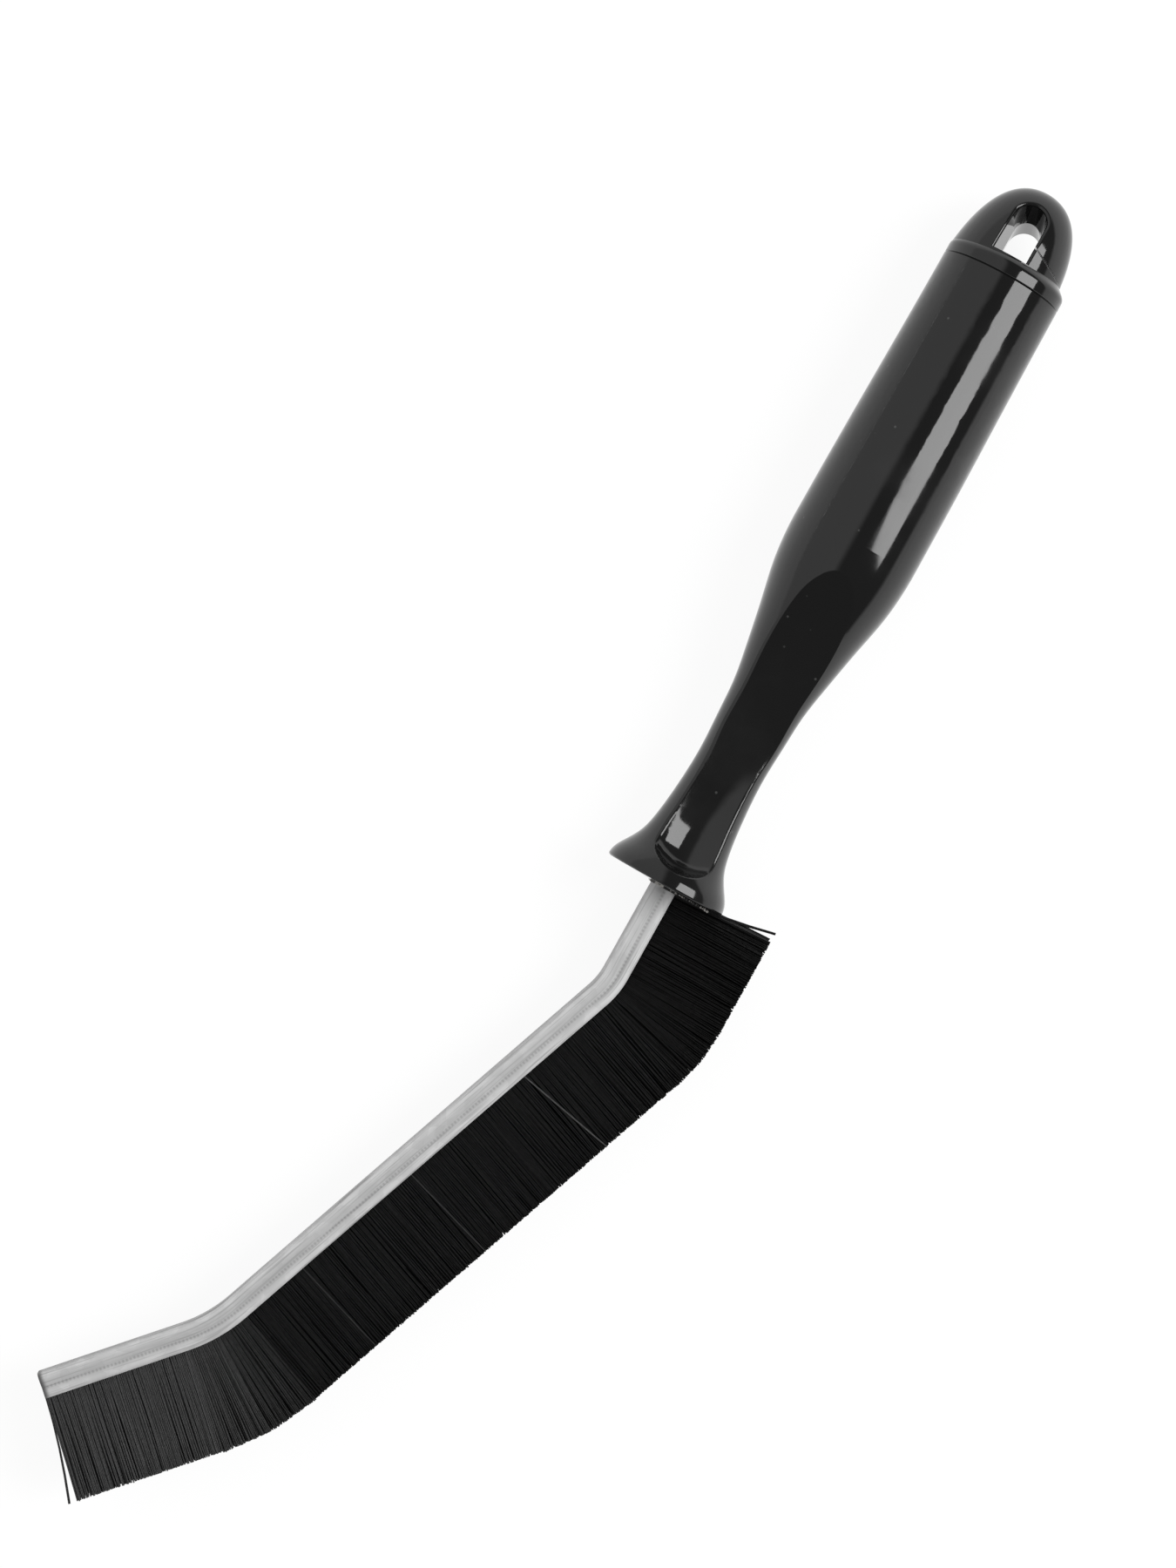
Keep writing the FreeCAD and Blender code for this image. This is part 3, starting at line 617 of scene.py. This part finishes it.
def channel_ring(bm):
    """Section across the end of the tang with rounded back corners; returns its edges."""
    start = RIM + AXIS_X * TANG_LENGTH + AXIS_Y * (CHANNEL_HEIGHT / 2)
    corners = [bm.verts.new(start - AXIS_Y * height + AXIS_Z * half) for height, half in channel_corners()]
    bm.faces.new(corners)
    backs = [vert for vert in corners if start.y - vert.co.y < SHEET / 2]
    bmesh.ops.bevel(
        bm,
        geom=backs,
        offset=BACK_ROUND,
        affect="VERTICES",
        segments=BACK_ROUND_SEGMENTS,
        profile=0.5,
        material=-1,
    )
    return list(bm.edges)


def crimp_side(height, width):
    """1 or -1 where a point of the section lies on the crimp line of the near or far side, else 0."""
    on_line = abs(height - CRIMP_SHARES[1] * CHANNEL_HEIGHT) < SHEET / 4
    outside = abs(width) > WAIST_HALF - SHEET / 2
    return math.copysign(1, width) if on_line and outside else 0


def strip_channel(material):
    """Sheet channel drawn along the strip in steps of half a crimp, with every other step dented."""
    bm = bmesh.new()
    along_layer = bm.verts.layers.float.new("along")
    around_layer = bm.verts.layers.float.new("around")
    dent_layer = bm.verts.layers.float.new("dent")
    ring = channel_ring(bm)
    back = RIM.y + CHANNEL_HEIGHT / 2
    for vert in bm.verts:
        vert[around_layer] = math.copysign(back - vert.co.y + SHOULDER_HALF, vert.co.z - RIM.z)
    centre, heading, along = RIM + AXIS_X * TANG_LENGTH, 0, 0
    for length, turn, radius in strip_stretches():
        steps = 2 * max(1, round(length / CRIMP_PITCH))
        pivot = centre - heading_out(heading) * radius
        shift = Vector() if turn else heading_along(heading) * (length / steps)
        for step in range(steps):
            made = bmesh.ops.spin(
                bm, geom=ring, cent=pivot, axis=AXIS_Z, dvec=shift, angle=-turn / steps, steps=1
            )
            ring = [item for item in made["geom_last"] if isinstance(item, bmesh.types.BMEdge)]
            along += length / steps
            for vert in {vert for edge in ring for vert in edge.verts}:
                vert[along_layer] = along
                vert[dent_layer] = 1 - step % 2
        centre = pivot + heading_out(heading + turn) * radius if turn else centre + shift * steps
        heading += turn
    for vert in bm.verts:
        width = vert.co.z - RIM.z
        height = abs(vert[around_layer]) - SHOULDER_HALF
        vert.co.z -= crimp_side(height, width) * vert[dent_layer] * CRIMP_DEPTH
    bmesh.ops.edgeloop_fill(bm, edges=ring)
    bmesh.ops.recalc_face_normals(bm, faces=bm.faces)
    piece = new_piece("zinc_channel", finished_mesh(bm, "zinc_channel"), material)
    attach(piece, "brush")
    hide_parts("strip_channel")


# Bristles


def bundle_size(node, lip, along, out):
    """Half widths of a bundle at its root and tip, its reach from the lips and its half thickness."""
    places = [vert.co - lip for vert in node.data.vertices]
    reach = max(place.dot(out) for place in places)
    half_tip = max(abs(place.dot(along)) for place in places)
    half_root = max(abs(place.dot(along)) for place in places if place.dot(out) < LIP_TO_HINGE / 2)
    thickness = max(abs(place.z) for place in places)
    return half_root + BUNDLE_GAP / 2, half_tip + BUNDLE_GAP / 2, reach, thickness - TIP_INSET


def filaments_to_mesh(name, filaments):
    """Mesh of the filaments, each given as its points and its grey, which is kept on its vertices."""
    taper = [1] * (FILAMENT_POINTS - 1) + [TIP_TAPER_SHARE]
    mesh = tubes_to_mesh(name, FILAMENT_RADIUS, [(points, taper) for points, _ in filaments], capped=True)
    per_filament = len(mesh.vertices) // len(filaments)
    greys = [level for _, level in filaments for _ in range(per_filament)]
    mesh.attributes.new("grey", "FLOAT", "POINT").data.foreach_set("value", greys)
    return mesh


def filament_between(root, tip, bow):
    """Points of one filament, bowed sideways between its root and its tip."""
    points = []
    for index in range(FILAMENT_POINTS):
        share = index / (FILAMENT_POINTS - 1)
        points.append(root.lerp(tip, share) + bow * math.sin(math.pi * share))
    return points


def end_spread(number, across):
    """How far the filaments at the strip's two ends lean out of it at the root and at the tip."""
    share = max(0, (abs(across) - SPREAD_FROM_SHARE) / (1 - SPREAD_FROM_SHARE))
    if number == 1 and across < 0:
        return -HEEL_ROOT_SPREAD * share, -HEEL_SPREAD * share
    if number == len(FLEXES) and across > 0:
        return 0, TOE_SPREAD * share
    return 0, 0


def filament_places(rng, width):
    """Full rows of filaments on a bundle's two faces, in strands of one grey, and loose ones between.

    Each is given as its place across the bundle and through it, from -1 to 1, and its grey.
    """
    row = round(width / FACE_PITCH)
    places = []
    for face in (-1, 1):
        for index in range(row):
            if index % STRAND == 0:
                level = rng.uniform(DARKEST_NYLON, PALEST_NYLON)
            jitter = rng.uniform(-FACE_JITTER_SHARE, FACE_JITTER_SHARE)
            across = 2 * (index + 0.5 + jitter) / row - 1
            places.append((across, face * rng.uniform(FACE_LEVEL, 1), level))
    for _ in range(round(width * INNER_FILAMENTS_PER_METRE)):
        places.append((rng.uniform(-1, 1), rng.uniform(-FACE_LEVEL, FACE_LEVEL), DARKEST_NYLON))
    return places


def toe_painted_sheen(number):
    """Times by which a bundle's filaments are painted paler, a painted sheen for the highlight along the
    toe's filaments: more than 1 towards the toe.
    """
    share = (number - TOE_PAINTED_SHEEN_FROM) / (TOE_PAINTED_SHEEN_FULL - TOE_PAINTED_SHEEN_FROM)
    return 1 + TOE_PAINTED_SHEEN_GAIN * min(1, max(0, share))


def bristle_bundle(number, joint, material):
    """Filaments of one bundle, parted into tufts, with the strays that stand out of it."""
    rng = random.Random(number)
    along = Vector(joint["axis"]).normalized()
    out = Vector((-along.y, along.x, 0))
    lip = Vector(joint["pos_m"]) - out * LIP_TO_HINGE
    name = f"bristle_bundle_{number:02d}"
    half_root, half_tip, reach, half_thickness = bundle_size(nodes[name], lip, along, out)
    tufts = max(1, round((half_root + half_tip) / TUFT_PITCH))
    depths = [rng.uniform(*PARTING_DEPTH_SHARES) * PARTING_DEPTH for _ in range(tufts)]

    def filament(across_root, across_tip, level, sunk, bow):
        root_lean, tip_lean = end_spread(number, across_root)
        root = lip - out * ROOT_DEPTH + along * (across_root * half_root + root_lean)
        root += AXIS_Z * (level * ROOT_HALF_THICKNESS)
        tip = lip + out * (reach + rng.gauss(0, LENGTH_SCATTER)) + AXIS_Z * (level * (half_thickness - sunk))
        tip += along * (across_tip * half_tip + tip_lean + rng.gauss(0, TIP_SCATTER))
        return filament_between(root, tip, along * bow)

    filaments = []
    for across, through, shade in filament_places(rng, half_root + half_tip):
        tuft = min(int((across + 1) / 2 * tufts), tufts - 1)
        middle = (2 * tuft + 1) / tufts - 1
        from_parting = (1 / tufts - abs(across - middle)) * half_tip
        sunk = depths[tuft] * max(0, 1 - from_parting / (PARTING_WIDTH / 2))
        pulled = across + (middle - across) * TUFT_PULL
        points = filament(across, pulled, through, sunk, rng.gauss(0, BOW_SCATTER))
        # Each filament's own grey, painted paler on the toe bundles as painted sheen
        filaments.append((points, shade * toe_painted_sheen(number)))
    for bundle, across_root, across_tip, bow, shade in STRAYS:
        if bundle == number:
            filaments.append((filament(across_root, across_tip, STRAY_LEVEL, 0, bow), shade))
    piece = new_piece(f"filaments_{number:02d}", filaments_to_mesh(name, filaments), material)
    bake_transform(piece)
    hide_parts(name)


# Handle trim


def on_barrel(skin, x, angle):
    """Point of the handle's skin at a distance from the rim, at an angle from +Z towards +Y."""
    outward = AXIS_Z * math.cos(angle) + AXIS_Y * math.sin(angle)
    start = RIM + AXIS_X * x + outward * SKIN_REACH
    return skin.ray_cast(start, -outward)[0]


def mould_flash(material):
    """Hairline of flash on the two sides of the barrel, where the mould halves met."""
    rng = random.Random(FLASH_SEED)
    shell = nodes["handle_shell"].data
    corners = [vert.co for vert in shell.vertices]
    skin = BVHTree.FromPolygons(corners, [list(face.vertices) for face in shell.polygons])
    step = (FLASH_END - FLASH_START) / (FLASH_POINTS - 1)
    lines = []
    for angle in (FLASH_ANGLE, FLASH_ANGLE + math.pi):
        points = [on_barrel(skin, FLASH_START + step * index, angle) for index in range(FLASH_POINTS)]
        lines.append((points, [rng.uniform(*FLASH_RADIUS_SHARES) for _ in points]))
    mesh = tubes_to_mesh("mould_flash", FLASH_RADIUS, lines, capped=False)
    piece = new_piece("mould_flash", mesh, material)
    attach(piece, "brush")


def glue_drops(material):
    """Drops of squeezed-out glue on the collar's face, above the roots of the heel bristles."""
    rng = random.Random(GLUE_SEED)
    bm = bmesh.new()
    for index in range(GLUE_DROPS):
        offset = GLUE_START + (GLUE_END - GLUE_START) * index / (GLUE_DROPS - 1)
        height = ROOT_HALF_THICKNESS + GLUE_RISE_SHARE * offset
        height += rng.uniform(*GLUE_SCATTER_SHARES) * GLUE_DROP_RADIUS
        stretch = [rng.uniform(*GLUE_STRETCH_SHARES) for _ in range(3)]
        place = RIM + Vector((-COLLAR_CROWN, -offset, height))
        shape = Matrix.Translation(place) @ Matrix.Diagonal((*stretch, 1))
        bmesh.ops.create_icosphere(
            bm, subdivisions=GLUE_SUBDIVISIONS, radius=GLUE_DROP_RADIUS, matrix=shape
        )
    piece = new_piece("glue_drops", finished_mesh(bm, "glue_drops"), material)
    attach(piece, "brush")


# Studio


def add_camera():
    """Camera that sees the collar's rim and the handle where the picture has them."""
    across_in_image = Vector((-HANDLE_IN_IMAGE.y, HANDLE_IN_IMAGE.x))
    back = Vector((0, math.sin(CAMERA_TILT), math.cos(CAMERA_TILT)))
    across = Vector((0, -math.cos(CAMERA_TILT), math.sin(CAMERA_TILT)))
    right = AXIS_X * HANDLE_IN_IMAGE.x + across * across_in_image.x
    down = AXIS_X * HANDLE_IN_IMAGE.y + across * across_in_image.y
    middle = Vector((IMAGE_WIDTH / 2, IMAGE_HEIGHT / 2)) - RIM_PIXEL
    offset = AXIS_X * middle.dot(HANDLE_IN_IMAGE) + across * middle.dot(across_in_image)
    target = RIM + offset * METRES_PER_PIXEL
    camera = bpy.data.objects.new("camera", bpy.data.cameras.new("camera"))
    camera.data.sensor_width = SENSOR_MM
    camera.data.lens = SENSOR_MM * FOCAL_PIXELS / IMAGE_HEIGHT
    turn = Matrix((right.normalized(), -down.normalized(), back)).transposed().to_4x4()
    camera.matrix_world = Matrix.Translation(target + back * FOCAL_PIXELS * METRES_PER_PIXEL) @ turn
    scene.collection.objects.link(camera)
    scene.camera = camera


def add_softbox():
    """One square softbox over the bristle side of the handle, which draws a stripe down the barrel."""
    light = bpy.data.lights.new("softbox", "AREA")
    light.shape = "SQUARE"
    light.size = SOFTBOX_SIZE
    light.energy = SOFTBOX_RADIANCE * math.pi * SOFTBOX_SIZE**2
    way = Vector((0, -math.sin(SOFTBOX_TILT), math.cos(SOFTBOX_TILT)))
    facing = Matrix((AXIS_X, way.cross(AXIS_X), way)).transposed().to_4x4()
    place = Matrix.Translation(RIM + way * SOFTBOX_DISTANCE + AXIS_X * SOFTBOX_ALONG)
    softbox = bpy.data.objects.new("softbox", light)
    softbox.matrix_world = place @ facing @ Matrix.Rotation(SOFTBOX_TURN, 4, "Z")
    scene.collection.objects.link(softbox)


def seen_directly(tree):
    """1 where a ray comes from the camera, a reflection or through glass, and 0 for lighting."""
    path = add_node(tree, "ShaderNodeLightPath")
    mirrored = math_node(tree, "MAXIMUM", path.outputs["Is Glossy Ray"], path.outputs["Is Transmission Ray"])
    return math_node(tree, "MAXIMUM", path.outputs["Is Camera Ray"], mirrored)


def add_world():
    """White all round near the table, with a dim ceiling overhead and a pale wall behind the strip."""
    world = bpy.data.worlds.new("studio")
    world.use_nodes = True
    scene.world = world
    tree = world.node_tree
    background = tree.nodes["Background"]
    background.inputs["Color"].default_value = grey(1)
    way = add_node(tree, "ShaderNodeSeparateXYZ")
    feed(tree, way.inputs[0], add_node(tree, "ShaderNodeTexCoord").outputs["Generated"])
    room = remap(tree, way.outputs["Y"], WALL_STARTS, WALL_FULL, CEILING_LIGHT, WALL_LIGHT)
    fill = remap(tree, way.outputs["Y"], *FILL_REACH, ROOM_LIGHT, FILL_LIGHT)
    horizon = remap(tree, way.outputs["Z"], *HORIZON_REACH, 1, 0)
    surroundings = mix_values(tree, horizon, room, 1)
    feed(tree, background.inputs["Strength"], mix_values(tree, seen_directly(tree), fill, surroundings))


def add_floor():
    """White table top that keeps the brush's soft shadow."""
    bm = bmesh.new()
    bmesh.ops.create_grid(bm, x_segments=1, y_segments=1, size=FLOOR_HALF_SIZE)
    material, tree, shader = new_material("white_table")
    shader.inputs["Base Color"].default_value = grey(FLOOR_GREY)
    shader.inputs["Roughness"].default_value = 1
    shader.inputs["Specular IOR Level"].default_value = 0
    shader.inputs["Emission Color"].default_value = grey(1)
    glow = math_node(tree, "MULTIPLY", seen_directly(tree), FLOOR_GLOW)
    feed(tree, shader.inputs["Emission Strength"], glow)
    floor = new_piece("floor", finished_mesh(bm, "floor"), material)


def build():
    """Finishes the solids, adds the finer pieces and sets the studio round them."""
    plastic = black_plastic()
    nylon = black_nylon()
    dress_solid("handle_shell", plastic)
    dress_solid("hook_cap", plastic)
    dress_solid("core_wire", drawn_wire())
    dress_solid("filament_fold", packed_nylon())
    glue = cured_adhesive()
    dress_solid("adhesive", glue)
    glue_drops(glue)
    strip_channel(zinc_sheet())
    mould_flash(plastic)
    for number, name in enumerate(FLEXES, 1):
        bristle_bundle(number, joints[name], nylon)
    add_floor()
    add_world()
    add_softbox()
    add_camera()
    scene.view_settings.view_transform = "Standard"


build()
